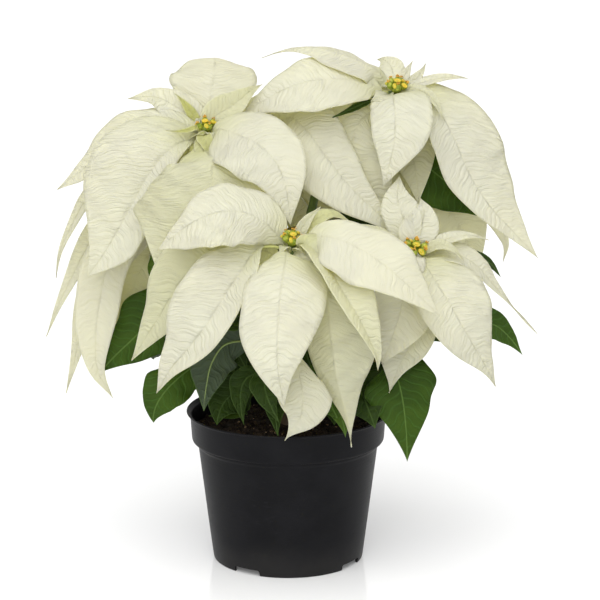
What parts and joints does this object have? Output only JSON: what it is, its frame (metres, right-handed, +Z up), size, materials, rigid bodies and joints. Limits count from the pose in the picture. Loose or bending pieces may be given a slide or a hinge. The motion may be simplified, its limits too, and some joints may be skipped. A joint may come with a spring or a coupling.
{
  "type": "potted poinsettia",
  "caption": "White poinsettia with layered cream bracts, dark green leaves and small green flower centres, rooted in a round tapered black nursery pot with a rim band.",
  "frame": {"origin": "middle of the pot's foot, on the surface that the pot stands on", "axes": "+Z up; -Y towards the front of the plant, the side that its front flower head leans to; +X to the right as seen from the front"},
  "size_m": [0.3685, 0.2441, 0.3784],
  "materials": {
    "pot_plastic": "matte",
    "potting_mix": "matte",
    "bract_cream": "satin",
    "leaf_green": "satin",
    "stem_green": "satin",
    "stem_bark": "matte",
    "cyathium_green": "satin"
  },
  "bodies": {
    "root": {"bract_back_1": "bract_cream", "bract_back_2": "bract_cream", "bract_back_3": "bract_cream", "bract_back_4": "bract_cream", "bract_back_5": "bract_cream", "bract_back_6": "bract_cream", "bract_back_right_1": "bract_cream", "bract_back_right_2": "bract_cream", "bract_back_right_3": "bract_cream", "bract_back_right_4": "bract_cream", "bract_back_right_5": "bract_cream", "bract_back_right_6": "bract_cream", "bract_back_right_7": "bract_cream", "bract_back_right_8": "bract_cream", "bract_front_1": "bract_cream", "bract_front_2": "bract_cream", "bract_front_3": "bract_cream", "bract_front_4": "bract_cream", "bract_front_5": "bract_cream", "bract_front_6": "bract_cream", "bract_front_7": "bract_cream", "bract_front_8": "bract_cream", "bract_left_1": "bract_cream", "bract_left_10": "bract_cream", "bract_left_2": "bract_cream", "bract_left_3": "bract_cream", "bract_left_4": "bract_cream", "bract_left_5": "bract_cream", "bract_left_6": "bract_cream", "bract_left_7": "bract_cream", "bract_left_8": "bract_cream", "bract_left_9": "bract_cream", "bract_right_1": "bract_cream", "bract_right_2": "bract_cream", "bract_right_3": "bract_cream", "bract_right_4": "bract_cream", "bract_right_5": "bract_cream", "bract_right_6": "bract_cream", "branch_back": "stem_green", "branch_back_right": "stem_green", "branch_front": "stem_green", "branch_left": "stem_green", "branch_right": "stem_green", "flower_centre_back": "cyathium_green", "flower_centre_back_right": "cyathium_green", "flower_centre_front": "cyathium_green", "flower_centre_left": "cyathium_green", "flower_centre_right": "cyathium_green", "leaf_back_right_1": "leaf_green", "leaf_front_1": "leaf_green", "leaf_front_2": "leaf_green", "leaf_front_3": "leaf_green", "leaf_front_4": "leaf_green", "leaf_left_1": "leaf_green", "leaf_left_2": "leaf_green", "leaf_right_1": "leaf_green", "leaf_right_2": "leaf_green", "main_stem": "stem_bark", "pot": "pot_plastic", "potting_mix": "potting_mix"}
  },
  "joints": []
}
